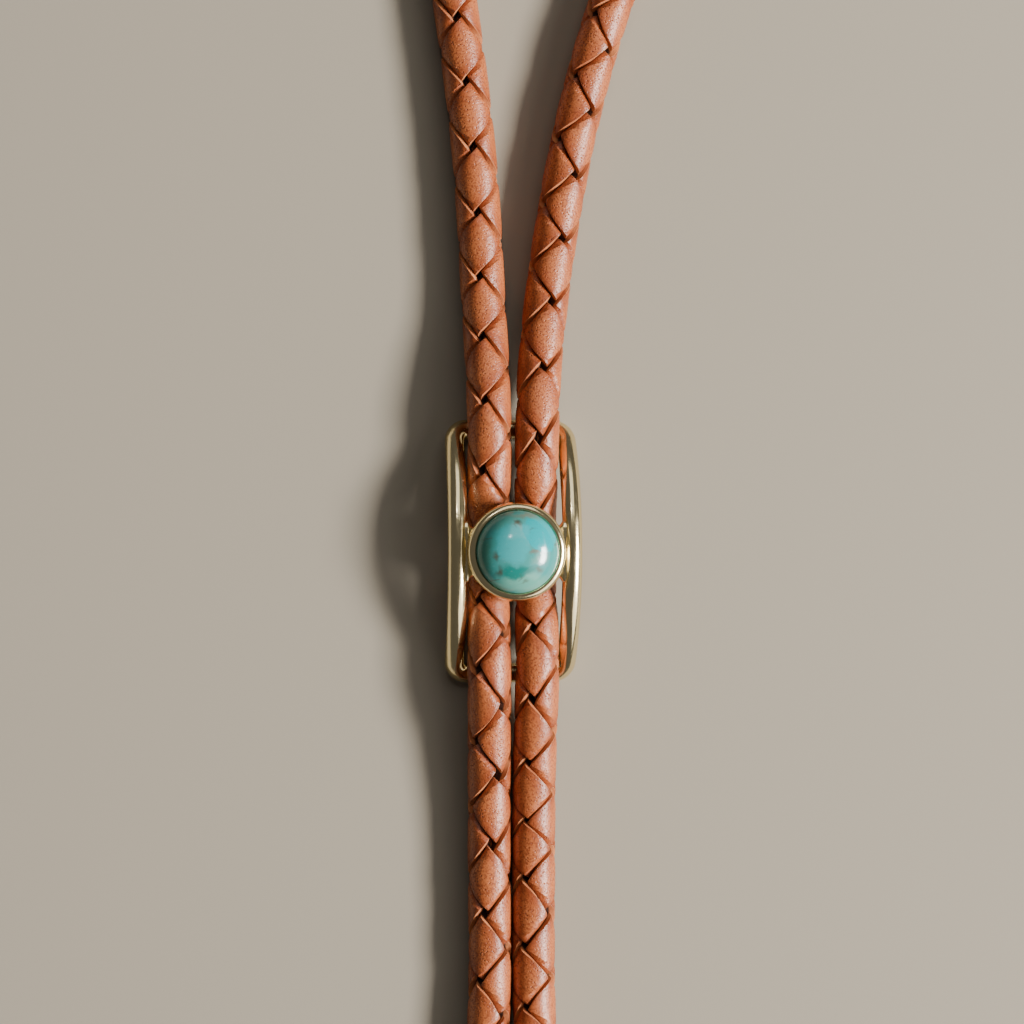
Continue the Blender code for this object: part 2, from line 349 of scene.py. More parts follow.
@dataclass(frozen=True)
class EffectSizes:
    """Scales a metre, limits and shares in the effects that the finishes share.

    The scratches' rows are the turn of their lines in radians and their width as a share of their
    length. A texture's values are its scale, where that is fixed, its detail and its roughness. A
    shift's are how far it moves a place, in metres, and its scale.
    """

    scratches: Rows = ((0.35, 0.09), (-0.8, 0.06), (1.45, 0.12))
    scratch_texture: Span = (2.0, 0.6)
    scratch_limits: Span = (0.6, 0.74)
    tone_texture: Span = (4.0, 0.55)
    tone_limits: Span = (0.3, 0.7)
    fleck_texture: Span = (5.0, 0.65)
    fleck_fineness: float = 7.0
    fleck_limits: Span = (0.56, 0.74)
    grain_shift: Span = (0.2 * MM, 1300.0)
    pore_scale: float = 4200.0
    pore_limits: Span = (0.08, 0.45)
    chosen_limits: Span = (0.1, 0.7)
    area_texture: Span = (330.0, 2.0)
    area_limits: Span = (0.36, 0.6)
    area_least: float = 0.3
    tooth_texture: tuple[float, float, float] = (5600.0, 2.0, 0.6)
    crease_texture: tuple[float, float, float] = (1500.0, 4.0, 0.65)
    tooth_rise: float = 0.45
    crease_rise: float = 0.75
    pore_drop: float = 0.9


class SharedEffects:
    """Node groups that more than one finish uses, each made once."""

    def __init__(self) -> None:
        """Make the groups."""
        self.sizes = EffectSizes()
        self.scratches = self._make_scratches()
        self.clouds = self._make_clouds()
        self.grain = self._make_grain()

    @staticmethod
    def _group(
        name: str, setting: str, outputs: Iterable[str]
    ) -> tuple[bpy.types.NodeTree, NodeBench, bpy.types.Node, bpy.types.Node]:
        """A new group with a Place input, one setting that each finish gives, and its outputs.

        Args:
            name: the group's name.
            setting: the name of the setting's input.
            outputs: the name of each output.

        Returns:
            The group, a bench for it, and its input and output nodes.
        """
        tree = bpy.data.node_groups.new(name, "ShaderNodeTree")
        tree.interface.new_socket(name="Place", in_out="INPUT", socket_type="NodeSocketVector")
        tree.interface.new_socket(name=setting, in_out="INPUT", socket_type="NodeSocketFloat")
        for label in outputs:
            tree.interface.new_socket(name=label, in_out="OUTPUT", socket_type="NodeSocketFloat")
        bench = NodeBench(tree)
        return tree, bench, bench.add("NodeGroupInput"), bench.add("NodeGroupOutput")

    def _make_scratches(self) -> bpy.types.NodeTree:
        """Fine hairline scratches of polishing and wear, in crossing directions.

        Returns:
            The group.
        """
        tree, bench, given, result = self._group("fine scratches", "Spacing", ["Mask", "Height"])
        mask: object = 0.0
        for angle, width in self.sizes.scratches:
            turned = bench.add(
                "VectorRotate", {"Vector": given.outputs["Place"], "Angle": angle}, rotation_type="Z_AXIS"
            )
            narrow = {0: turned.outputs[0], 1: (width, 1.0, 1.0)}
            drawn = bench.add("VectorMath", narrow, operation="MULTIPLY").outputs[0]
            hairs = bench.noise(drawn, given.outputs["Spacing"], *self.sizes.scratch_texture)
            layer = bench.ramp(hairs.outputs["Fac"], *self.sizes.scratch_limits)
            mask = bench.math("MAXIMUM", mask, layer)
        bench.feed(result.inputs["Mask"], mask)
        bench.feed(result.inputs["Height"], bench.scale(mask, -1.0))
        return tree

    def _make_clouds(self) -> bpy.types.NodeTree:
        """Soft uneven tone, as of handling, dye or tarnish.

        Returns:
            The group.
        """
        tree, bench, given, result = self._group("cloudy tone", "Scale", ["Tone", "Fleck"])
        place, scale = given.outputs["Place"], given.outputs["Scale"]
        broad = bench.noise(place, scale, *self.sizes.tone_texture)
        fine = bench.noise(place, bench.scale(scale, self.sizes.fleck_fineness), *self.sizes.fleck_texture)
        bench.feed(result.inputs["Tone"], bench.ramp(broad.outputs["Fac"], *self.sizes.tone_limits))
        bench.feed(result.inputs["Fleck"], bench.ramp(fine.outputs["Fac"], *self.sizes.fleck_limits))
        return tree

    def _make_grain(self) -> bpy.types.NodeTree:
        """Pores, fine creases and the fibrous tooth of tanned leather.

        Returns:
            The group.
        """
        tree, bench, given, result = self._group("leather grain", "Pores", ["Pore", "Tooth", "Height"])
        sizes = self.sizes
        place = given.outputs["Place"]
        uneven = bench.shift(place, *sizes.grain_shift)
        cells = bench.add("TexVoronoi", {"Vector": uneven, "Scale": sizes.pore_scale})
        pit = bench.ramp(cells.outputs["Distance"], *sizes.pore_limits, 1.0, 0.0)
        lot = bench.add("SeparateColor", {0: cells.outputs["Color"]}).outputs[0]
        chosen = bench.ramp(lot, *sizes.chosen_limits)
        area = bench.noise(place, *sizes.area_texture).outputs["Fac"]
        areas = bench.ramp(area, *sizes.area_limits, sizes.area_least, 1.0)
        pore = bench.scale(bench.scale(pit, chosen), bench.scale(areas, given.outputs["Pores"]))
        tooth = bench.noise(place, *sizes.tooth_texture).outputs["Fac"]
        crease = bench.noise(uneven, *sizes.crease_texture).outputs["Fac"]
        rise = bench.scale(tooth, sizes.tooth_rise, bench.scale(crease, sizes.crease_rise))
        bench.feed(result.inputs["Pore"], pore)
        bench.feed(result.inputs["Tooth"], tooth)
        bench.feed(result.inputs["Height"], bench.scale(pore, -sizes.pore_drop, rise))
        return tree

    @staticmethod
    def place(bench: NodeBench, group: bpy.types.NodeTree, inputs: dict) -> bpy.types.Node:
        """A copy of a group in a material.

        Args:
            bench: the material's bench.
            group: the group.
            inputs: values or sockets by the name of the group's input.

        Returns:
            The group's node.
        """
        node = bench.add("Group", node_tree=group)
        for key, value in inputs.items():
            bench.feed(node.inputs[key], value)
        return node


def new_material(name: str) -> tuple[bpy.types.Material, NodeBench, bpy.types.Node]:
    """A material with nothing but its Principled shader.

    Args:
        name: the material's name.

    Returns:
        The material, a bench for its nodes, and its shader node.
    """
    material = bpy.data.materials.new(name)
    material.use_nodes = True
    return material, NodeBench(material.node_tree), material.node_tree.nodes["Principled BSDF"]


def lace_notes(bench: NodeBench) -> tuple[bpy.types.NodeSocket, ...]:
    """What the lace meshes note for their leather.

    Args:
        bench: the bench of the leather's material.

    Returns:
        The place in the leather, the place across the lace from -1 to 1, how far the lace is over
        its neighbours, and how deep it lies in the cord in millimetres.
    """
    place = bench.add("Attribute", attribute_name=PLACE_NOTE).outputs["Vector"]
    lay = bench.add("Attribute", attribute_name=LAY_NOTE).outputs["Vector"]
    across, over, depth = bench.add("SeparateXYZ", {0: lay}).outputs
    return place, across, over, depth


@dataclass(frozen=True)
class LaceFinish:
    """Grain side of a tan leather lace. Its lobes' tops are lighter, partly wear and partly painted light;
    its edges are darker, partly burnishing and partly painted shade; and painted shade darkens it
    where it dips under its neighbours.

    A share is how far a colour covers those under it, and limits are where its cover starts and
    is full.
    """

    # Painted light, with wear: lit is the lighter colour laid on the tops of the lobes.
    lit: Colour = (0.52, 0.160, 0.050)
    tan: Colour = (0.40, 0.099, 0.028)
    red: Colour = (0.29, 0.060, 0.016)
    speck: Colour = (0.20, 0.038, 0.010)
    # crease is the near-black colour of painted shade, where the lace dips under and along its edges.
    crease: Colour = (0.035, 0.006, 0.002)
    pore: Colour = (0.15, 0.032, 0.010)
    cloud_scale: float = 160.0
    crown_share: float = 0.55
    crown_over: Span = (0.2, 1.0)
    crown_across: Span = (0.9, 0.2)
    fleck_share: float = 0.3
    speck_share: float = 0.8
    speck_limits: Span = (0.47, 0.62)
    pore_share: float = 0.75
    # The hem darkens both edges of the lace with the crease colour: burnishing, and painted shade.
    hem_share: float = 0.3
    hem_limits: Span = (0.8, 1.0)
    # Painted shade: where the lace dips deep under its neighbours it takes the crease colour.
    painted_shade_share: float = 0.9
    painted_shade_limits: Span = (0.27, 0.6)
    roughness: float = 0.26
    tooth_roughness: float = 0.25
    pore_roughness: float = 0.2
    bump: Span = (0.5, 0.15 * MM)

    def make(self, effects: SharedEffects) -> bpy.types.Material:
        """The material of the lace's outer face.

        Args:
            effects: the shared node groups.

        Returns:
            The material.
        """
        material, bench, shader = new_material("tan leather")
        place, across, over, depth = lace_notes(bench)
        clouds = effects.place(bench, effects.clouds, {"Place": place, "Scale": self.cloud_scale})
        grain = effects.place(bench, effects.grain, {"Place": place, "Pores": 1.0})
        aside = bench.math("ABSOLUTE", across)
        # Painted light, with wear: the lobes' tops, where the lace is over its neighbours, take the lit
        # colour.
        crown = bench.scale(bench.ramp(over, *self.crown_over), bench.ramp(aside, *self.crown_across))
        tone = bench.blend(clouds.outputs["Tone"], self.red, self.tan)
        for mask, share, colour in (
            (crown, self.crown_share, self.lit),
            (clouds.outputs["Fleck"], self.fleck_share, self.red),
            (bench.ramp(grain.outputs["Tooth"], *self.speck_limits), self.speck_share, self.speck),
            (grain.outputs["Pore"], self.pore_share, self.pore),
            # Burnishing and painted shade: both edges of the lace take the crease colour.
            (bench.ramp(aside, *self.hem_limits), self.hem_share, self.crease),
            # Painted shade where the lace dips deep under its neighbours.
            (bench.ramp(depth, *self.painted_shade_limits), self.painted_shade_share, self.crease),
        ):
            tone = bench.blend(bench.scale(mask, share), tone, colour)
        rough = bench.scale(grain.outputs["Tooth"], self.tooth_roughness, self.roughness)
        rough = bench.scale(grain.outputs["Pore"], self.pore_roughness, rough)
        bench.finish_surface(shader, tone, rough, grain.outputs["Height"], self.bump)
        return material


@dataclass(frozen=True)
class CutEdgeFinish:
    """Cut edge and flesh side of a lace, fibrous and unpolished, with painted shade where it lies deep in
    the cord.
    """

    light: Colour = (0.60, 0.21, 0.073)
    dark: Colour = (0.36, 0.09, 0.027)
    # Painted shade: deep is the near-black colour of the edge and back where they lie deep in the cord.
    deep: Colour = (0.03, 0.007, 0.0025)
    cloud_scale: float = 500.0
    pores: float = 0.3
    painted_shade_share: float = 0.95
    painted_shade_limits: Span = (0.48, 0.76)
    roughness: float = 0.65
    tooth_roughness: float = 0.2
    bump: Span = (0.7, 0.15 * MM)

    def make(self, effects: SharedEffects) -> bpy.types.Material:
        """The material of the lace's edges and back.

        Args:
            effects: the shared node groups.

        Returns:
            The material.
        """
        material, bench, shader = new_material("cut leather")
        place, _, _, depth = lace_notes(bench)
        grain = effects.place(bench, effects.grain, {"Place": place, "Pores": self.pores})
        clouds = effects.place(bench, effects.clouds, {"Place": place, "Scale": self.cloud_scale})
        tone = bench.blend(clouds.outputs["Tone"], self.dark, self.light)
        # Painted shade, darkest where the edge lies deepest in the cord.
        painted_shade = bench.scale(bench.ramp(depth, *self.painted_shade_limits), self.painted_shade_share)
        tone = bench.blend(painted_shade, tone, self.deep)
        rough = bench.scale(grain.outputs["Tooth"], self.tooth_roughness, self.roughness)
        bench.finish_surface(shader, tone, rough, grain.outputs["Height"], self.bump)
        return material


@dataclass(frozen=True)
class BrassFinish:
    """Pale brass with a soft hand polish, hairline scratches and a little tarnish."""

    bright: Colour = (0.94, 0.79, 0.455)
    dull: Colour = (0.71, 0.55, 0.27)
    cloud_scale: float = 260.0
    cloud_share: float = 0.15
    fleck_share: float = 0.2
    scratch_spacing: float = 2600.0
    roughness: float = 0.14
    scratch_roughness: float = 0.07
    cloud_roughness: float = 0.06
    bump: Span = (0.06, 0.03 * MM)

    def make(self, effects: SharedEffects) -> bpy.types.Material:
        """The material of the slide and the tips.

        Args:
            effects: the shared node groups.

        Returns:
            The material.
        """
        material, bench, shader = new_material("polished brass")
        place = bench.add("TexCoord").outputs["Object"]
        clouds = effects.place(bench, effects.clouds, {"Place": place, "Scale": self.cloud_scale})
        hairs = {"Place": place, "Spacing": self.scratch_spacing}
        scratches = effects.place(bench, effects.scratches, hairs)
        tone = bench.blend(bench.scale(clouds.outputs["Fleck"], self.fleck_share), self.bright, self.dull)
        tone = bench.blend(bench.scale(clouds.outputs["Tone"], self.cloud_share), tone, self.dull)
        rough = bench.scale(scratches.outputs["Mask"], self.scratch_roughness, self.roughness)
        rough = bench.scale(clouds.outputs["Tone"], self.cloud_roughness, rough)
        bench.finish_surface(shader, tone, rough, scratches.outputs["Height"], self.bump)
        shader.inputs["Metallic"].default_value = 1.0
        return material


@dataclass(frozen=True)
class StonePatch:
    """One area of a different colour in the stone, seen from above, in millimetres."""

    across: float
    up: float
    half_width: float
    half_height: float
    turn: float
    colour: Colour
    softness: float
    strength: float


@dataclass(frozen=True)
class TurquoiseFinish:
    """Polished turquoise with paler and greener areas and thin brown matrix."""

    base: Colour = (0.04, 0.25, 0.235)
    soft: Colour = (0.06, 0.27, 0.25)
    pale: Colour = (0.30, 0.52, 0.47)
    matrix: Colour = (0.085, 0.055, 0.025)
    patches: tuple[StonePatch, ...] = (
        StonePatch(0.6, -3.6, 3.4, 1.5, 0.0, (0.12, 0.35, 0.27), 0.5, 0.8),
        StonePatch(-4.0, -0.5, 0.9, 3.2, 0.0, (0.05, 0.17, 0.11), 0.7, 0.7),
        StonePatch(-0.4, -2.2, 2.4, 0.85, 0.1, (0.006, 0.15, 0.125), 0.5, 0.9),
        StonePatch(0.3, 2.2, 0.35, 1.7, 0.35, (0.17, 0.33, 0.29), 0.6, 0.85),
        StonePatch(-0.9, 0.9, 2.1, 2.4, 0.0, (0.035, 0.32, 0.335), 0.3, 0.9),
        StonePatch(2.25, 2.0, 2.3, 1.65, -0.5, (0.0, 0.31, 0.34), 0.12, 1.0),
        StonePatch(-1.4, 3.6, 2.4, 0.9, 0.35, (0.06, 0.22, 0.18), 0.8, 0.7),
        StonePatch(1.6, 0.1, 0.75, 0.35, 0.5, (0.13, 0.14, 0.11), 0.6, 0.85),
        StonePatch(2.1, -0.7, 1.1, 0.5, 0.3, (0.11, 0.29, 0.24), 0.6, 0.7),
        StonePatch(1.1, 4.3, 1.9, 0.45, 0.0, (0.13, 0.15, 0.10), 0.8, 0.7),
        StonePatch(-2.6, -0.4, 0.45, 0.8, 0.2, (0.07, 0.065, 0.04), 1.0, 0.85),
        StonePatch(-2.5, -2.3, 0.45, 0.65, -0.2, (0.06, 0.055, 0.034), 1.0, 0.85),
        StonePatch(0.0, 3.3, 0.36, 0.4, 0.0, (0.05, 0.05, 0.033), 1.0, 0.9),
        StonePatch(2.1, -2.0, 0.5, 0.4, 0.2, (0.09, 0.10, 0.065), 0.8, 0.7),
    )
    cloud_scale: float = 420.0
    soft_share: float = 0.5
    fleck_share: float = 0.15
    patch_shifts: Rows = ((1.8 * MM, 420.0), (0.6 * MM, 1500.0))
    patch_fade: float = 0.4
    vein_scale: float = 330.0
    vein_share: float = 0.5
    vein_limits: Span = (0.0, 0.05)
    break_texture: Span = (500.0, 3.0)
    break_limits: Span = (0.55, 0.68)
    scratch_spacing: float = 1500.0
    roughness: float = 0.14
    scratch_roughness: float = 0.12
    bump: Span = (0.08, 0.08 * MM)
    refraction: float = 1.6

    def make(self, effects: SharedEffects) -> bpy.types.Material:
        """The material of the stone.

        Args:
            effects: the shared node groups.

        Returns:
            The material.
        """
        material, bench, shader = new_material("turquoise")
        place = bench.add("TexCoord").outputs["Object"]
        clouds = effects.place(bench, effects.clouds, {"Place": place, "Scale": self.cloud_scale})
        hairs = {"Place": place, "Spacing": self.scratch_spacing}
        scratches = effects.place(bench, effects.scratches, hairs)
        uneven = place
        for amount, scale in self.patch_shifts:
            uneven = bench.shift(uneven, amount, scale)
        tone = bench.blend(bench.scale(clouds.outputs["Tone"], self.soft_share), self.base, self.soft)
        for patch in self.patches:
            tone = self._lay_patch(bench, uneven, patch, tone)
        veins = bench.scale(self._veins(bench, place, uneven), self.vein_share)
        tone = bench.blend(veins, tone, self.matrix)
        tone = bench.blend(bench.scale(clouds.outputs["Fleck"], self.fleck_share), tone, self.pale)
        rough = bench.scale(scratches.outputs["Mask"], self.scratch_roughness, self.roughness)
        bench.finish_surface(shader, tone, rough, clouds.outputs["Tone"], self.bump)
        shader.inputs["IOR"].default_value = self.refraction
        return material

    def _veins(self, bench: NodeBench, place: object, uneven: object) -> bpy.types.NodeSocket:
        """A mask of thin broken veins.

        Args:
            bench: the material's bench.
            place: the place in the stone.
            uneven: the same place, moved about.

        Returns:
            The mask.
        """
        inputs = {"Vector": uneven, "Scale": self.vein_scale}
        cells = bench.add("TexVoronoi", inputs, feature="DISTANCE_TO_EDGE")
        line = bench.ramp(cells.outputs["Distance"], *self.vein_limits, 1.0, 0.0)
        breaks = bench.noise(place, *self.break_texture).outputs["Fac"]
        return bench.scale(line, bench.ramp(breaks, *self.break_limits))

    def _lay_patch(
        self, bench: NodeBench, place: object, patch: StonePatch, tone: object
    ) -> bpy.types.NodeSocket:
        """The colour so far with one patch laid over it.

        Args:
            bench: the material's bench.
            place: the place in the stone.
            patch: the patch.
            tone: the colour so far.

        Returns:
            The new colour.
        """
        local = bench.add(
            "Mapping",
            {
                "Vector": place,
                "Location": (patch.across * MM, patch.up * MM, 0.0),
                "Rotation": (0.0, 0.0, patch.turn),
                "Scale": (patch.half_width * MM, patch.half_height * MM, 1.0),
            },
            vector_type="TEXTURE",
        )
        flat = bench.add("VectorMath", {0: local.outputs[0], 1: (1.0, 1.0, 0.0)}, operation="MULTIPLY")
        reach = bench.add("VectorMath", {0: flat.outputs[0]}, operation="LENGTH").outputs["Value"]
        mask = bench.ramp(reach, 1.0 - patch.softness, 1.0 + patch.softness * self.patch_fade, 1.0, 0.0)
        return bench.blend(bench.scale(mask, patch.strength), tone, patch.colour)


@dataclass(frozen=True)
class FloorFinish:
    """Plain pale surface that the tie lies on."""

    pale: Colour = (0.295, 0.262, 0.207)
    roughness: float = 0.85
    gloss: float = 0.2

    def make(self) -> bpy.types.Material:
        """The floor's material.

        Returns:
            The material.
        """
        material, _, shader = new_material("pale floor")
        shader.inputs["Base Color"].default_value = (*self.pale, 1.0)
        shader.inputs["Roughness"].default_value = self.roughness
        shader.inputs["Specular IOR Level"].default_value = self.gloss
        return material


@dataclass(frozen=True)
class Finishes:
    """Every material of the tie."""

    lace: bpy.types.Material
    cut_edge: bpy.types.Material
    brass: bpy.types.Material
    stone: bpy.types.Material

    @classmethod
    def make(cls) -> "Finishes":
        """Make the materials with their shared effects.

        Returns:
            The materials.
        """
        effects = SharedEffects()
        return cls(
            LaceFinish().make(effects),
            CutEdgeFinish().make(effects),
            BrassFinish().make(effects),
            TurquoiseFinish().make(effects),
        )


def mount(obj: bpy.types.Object, slot: MaterialSlot, *nodes: str) -> None:
    """Let a piece ride on the tie's body and stand for CAD nodes, which it hides.

    Args:
        obj: the piece, in place.
        slot: its material slot; not used.
        nodes: the CAD nodes that it stands for.
    """
    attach(obj, BODY)
    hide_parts(*nodes)
    LOG.info("made %s for %s", obj.name, ", ".join(nodes))


@dataclass(frozen=True)
class CordRoute:
    """The cord's centre line from the left free end, round the neck, to the right free end.

    Rows of a leg have the columns: distance outside the leg's place in the slide and distance up
    the tie, both in millimetres, and lift off the surface as a share of the lift over an end bar.
    """

    cord_radius: float = 2.4 * MM
    leg_offset: float = 2.8 * MM
    end_bar: float = 14.25 * MM
    lift: float = 2.58 * MM
    under_bridge: float = 3.43 * MM
    tip_offset: float = 3.6 * MM
    tip_height: float = 3.45 * MM
    tip_mouth: float = 66.0 * MM
    cord_end: float = 73.7 * MM
    left_free_end: Rows = ((-0.25, -54.0, 0.0), (-0.30, -36.0, 0.0), (-0.20, -24.5, 0.3))
    left_neck_leg: Rows = (
        (0.15, 22.5, 0.45),
        (0.40, 28.5, 0.05),
        (1.20, 42.5, 0.0),
        (2.00, 51.0, 0.0),
        (3.60, 63.0, 0.0),
    )
    right_neck_leg: Rows = ((9.60, 66.0, 0.0), (5.20, 51.0, 0.0), (2.40, 36.5, 0.0), (0.55, 22.5, 0.45))
    right_free_end: Rows = ((-0.10, -24.5, 0.3), (-0.10, -36.0, 0.0), (0.00, -54.0, 0.0))
    neck_loop: Rows = (
        (-9.6, 82.0),
        (-15.5, 104.0),
        (-24.0, 129.0),
        (-34.5, 156.0),
        (-45.5, 185.0),
        (-54.0, 215.0),
        (-58.0, 246.0),
        (-54.0, 275.0),
        (-40.0, 299.0),
        (-18.0, 313.0),
        (8.0, 316.0),
        (33.0, 308.5),
        (53.0, 291.5),
        (65.0, 268.0),
        (69.0, 240.0),
        (66.0, 210.0),
        (58.5, 180.0),
        (48.5, 152.0),
        (38.0, 126.0),
        (28.5, 103.0),
        (19.5, 82.5),
    )
    span_steps: int = 48

    def _leg(self, rows: Rows, side: int) -> list[Vector]:
        """Places of a leg's rows.

        Args:
            rows: the rows, in the order in which the cord passes them.
            side: -1 for the left leg and 1 for the right one.

        Returns:
            The places.
        """
        return [
            Vector((side * (self.leg_offset + out * MM), up * MM, self.cord_radius + lift * self.lift))
            for out, up, lift in rows
        ]

    def _slide_pass(self, side: int) -> list[Vector]:
        """A leg's places over the lower end bar, under the bridge and over the upper end bar.

        Args:
            side: -1 for the left leg and 1 for the right one.

        Returns:
            The places, upwards.
        """
        over = self.cord_radius + self.lift
        heights = ((-self.end_bar, over), (0.0, self.under_bridge), (self.end_bar, over))
        return [Vector((side * self.leg_offset, y, z)) for y, z in heights]

    def _tip_stretch(self, side: int) -> list[Vector]:
        """A leg's places at the end of the cord and at the mouth of its tip."""
        ends = (self.cord_end, self.tip_mouth)
        return [Vector((side * self.tip_offset, -y, self.tip_height)) for y in ends]

    def rows(self) -> list[Vector]:
        """Every place that the route is drawn through.

        Returns:
            The places, from the left free end to the right one.
        """
        rows = self._tip_stretch(-1) + self._leg(self.left_free_end, -1) + self._slide_pass(-1)
        rows += self._leg(self.left_neck_leg, -1)
        rows += [Vector((across * MM, up * MM, self.cord_radius)) for across, up in self.neck_loop]
        rows += self._leg(self.right_neck_leg, 1) + self._slide_pass(1)[::-1]
        return rows + self._leg(self.right_free_end, 1) + self._tip_stretch(1)[::-1]

    def _span(self, before: Vector, start: Vector, end: Vector, after: Vector) -> list[Vector]:
        """Close points between two places, on a centripetal Catmull-Rom curve.

        Args:
            before: the place before the two.
            start: the first of the two.
            end: the second of the two.
            after: the place after them.

        Returns:
            The points, without the one at the end.
        """
        d0 = math.sqrt((start - before).length)
        d1 = math.sqrt((end - start).length)
        d2 = math.sqrt((after - end).length)
        chord = end - start
        leave = chord + d1 * ((start - before) / d0 - (end - before) / (d0 + d1))
        arrive = chord + d1 * ((after - end) / d2 - (after - start) / (d1 + d2))
        points = []
        for k in range(self.span_steps):
            t = k / self.span_steps
            points.append(
                (2 * t ** 3 - 3 * t ** 2 + 1) * start
                + (t ** 3 - 2 * t ** 2 + t) * leave
                + (3 * t ** 2 - 2 * t ** 3) * end
                + (t ** 3 - t ** 2) * arrive
            )
        return points

    def smooth_points(self) -> np.ndarray:
        """Close points along the whole route.

        Returns:
            An array of x, y and z a row.
        """
        rows = self.rows()
        knots = [2 * rows[0] - rows[1], *rows, 2 * rows[-1] - rows[-2]]
        points = [point for i in range(len(rows) - 1) for point in self._span(*knots[i:i + 4])]
        places = np.array([tuple(point) for point in [*points, rows[-1]]])
        places[:, 2] = np.maximum(places[:, 2], self.cord_radius)
        return places


class CordLine:
    """The route measured by distance, with the directions across it."""

    def __init__(self, places: np.ndarray) -> None:
        """Measure the given points.

        Args:
            places: close points along the line, as x, y and z a row.
        """
        steps = np.linalg.norm(np.diff(places, axis=0), axis=1)
        self.reach = np.concatenate([[0.0], np.cumsum(steps)])
        self.length = float(self.reach[-1])
        self.places = places
        tangents = np.gradient(places, self.reach, axis=0)
        self.tangents = tangents / np.linalg.norm(tangents, axis=1, keepdims=True)

    def at(self, distance: np.ndarray) -> tuple[np.ndarray, np.ndarray, np.ndarray]:
        """Centre, sideways and outward directions at distances along the cord.

        Args:
            distance: distances in metres, of any shape.

        Returns:
            Three arrays with a last axis of x, y and z.
        """
        centre = np.stack([np.interp(distance, self.reach, self.places[:, k]) for k in range(3)], axis=-1)
        along = np.stack([np.interp(distance, self.reach, self.tangents[:, k]) for k in range(3)], axis=-1)
        beyond = np.maximum(distance - self.length, 0.0) + np.minimum(distance, 0.0)
        centre = centre + along * beyond[..., None]
        side = np.stack([along[..., 1], -along[..., 0], np.zeros_like(along[..., 0])], axis=-1)
        side /= np.linalg.norm(side, axis=-1, keepdims=True)
        up = np.cross(side, along)
        up /= np.linalg.norm(up, axis=-1, keepdims=True)
        return centre, side, up


@dataclass(frozen=True)
class BraidLay:
    """How the braid advances and turns about itself along each leg.

    Rows have the columns: distance up the tie in millimetres, half turns that a lace has made
    round the cord by there, and the turn of the whole braid about its own middle in degrees. The
    rows of the girth are the distance up the tie and the share of the braid's plain thickness.
    """

    left_leg: Rows = (
        (-73.7, -2.0, -150.0),
        (-53.9, 0.5, -139.0),
        (-46.1, 1.5, -129.0),
        (-38.1, 2.5, -101.0),
        (-30.0, 3.5, -75.0),
        (-21.7, 4.5, -57.0),
        (-13.5, 5.5, -46.0),
        (-5.9, 6.5, -43.0),
        (1.9, 7.5, -37.0),
        (9.7, 8.5, -29.0),
        (17.2, 9.5, -20.0),
        (24.6, 10.5, -18.0),
        (32.0, 11.5, -16.0),
        (39.5, 12.5, -11.0),
        (47.1, 13.5, -8.0),
        (54.7, 14.5, -8.0),
        (62.2, 15.5, -7.0),
    )
    right_leg: Rows = (
        (58.8, 95.0, 50.0),
        (51.5, 96.0, 57.0),
        (44.1, 97.0, 64.0),
        (36.5, 98.0, 71.0),
        (29.0, 99.0, 78.0),
        (21.1, 100.0, 85.0),
        (13.3, 101.0, 92.0),
        (4.9, 102.0, 100.0),
        (-2.1, 103.0, 105.0),
        (-9.1, 104.0, 109.0),
        (-16.7, 105.0, 115.0),
        (-24.4, 106.0, 119.0),
        (-31.3, 107.0, 122.0),
        (-37.8, 108.0, 128.0),
        (-46.1, 109.0, 132.0),
        (-52.9, 110.0, 126.0),
        (-73.7, 112.8, 126.0),
    )
    girth: Rows = (
        (-80.0, 0.965),
        (-66.0, 0.965),
        (-60.0, 1.01),
        (-16.0, 1.03),
        (-8.0, 1.02),
        (-5.0, 0.975),
        (5.0, 0.975),
        (8.0, 1.03),
        (16.0, 1.035),
        (28.0, 1.04),
        (75.0, 1.04),
        (110.0, 1.0),
    )
    easing: float = 3.0 * MM
    easing_steps: int = 9

    def measured(self, line: CordLine) -> np.ndarray:
        """The rows by distance along the cord, with one more beyond each end.

        Args:
            line: the cord's centre line.

        Returns:
            Rows of distance in metres, half turns and turn in radians.
        """
        peak = int(np.argmax(line.places[:, 1]))
        left, right = np.array(self.left_leg), np.array(self.right_leg)
        left[:, 0] = np.interp(left[:, 0] * MM, line.places[:peak, 1], line.reach[:peak])
        right[:, 0] = np.interp(-right[:, 0] * MM, -line.places[peak:, 1], line.reach[peak:])
        rows = np.vstack([left, right])
        rows = np.vstack([2 * rows[0] - rows[1], rows, 2 * rows[-1] - rows[-2]])
        rows[:, 2] = np.radians(rows[:, 2])
        return rows


class EasedLay:
    """The braid's lay and girth along a cord, without kinks in the lay between its rows."""

    def __init__(self, table: BraidLay, line: CordLine) -> None:
        """Measure a table along the cord's centre line.

        Args:
            table: the braid's lay and girth.
            line: the centre line.
        """
        self.rows = table.measured(line)
        self.girths = np.array(table.girth)
        self.shifts = np.linspace(-table.easing, table.easing, table.easing_steps)

    def _column(self, distance: np.ndarray, column: int) -> np.ndarray:
        """One column's value at each distance, evened out over the shifts."""
        places, values = self.rows[:, 0], self.rows[:, column]
        return sum(np.interp(distance + shift, places, values) for shift in self.shifts) / len(self.shifts)

    def lace_angle(self, distance: np.ndarray) -> np.ndarray:
        """How far a right-handed lace has gone round the cord, in radians."""
        return math.pi * self._column(distance, 1)

    def braid_turn(self, distance: np.ndarray) -> np.ndarray:
        """How far the braid has turned about itself, in radians."""
        return self._column(distance, 2)

    def girth(self, up: np.ndarray) -> np.ndarray:
        """The share of the braid's plain thickness at distances up the tie, in metres."""
        return np.interp(up, self.girths[:, 0] * MM, self.girths[:, 1])


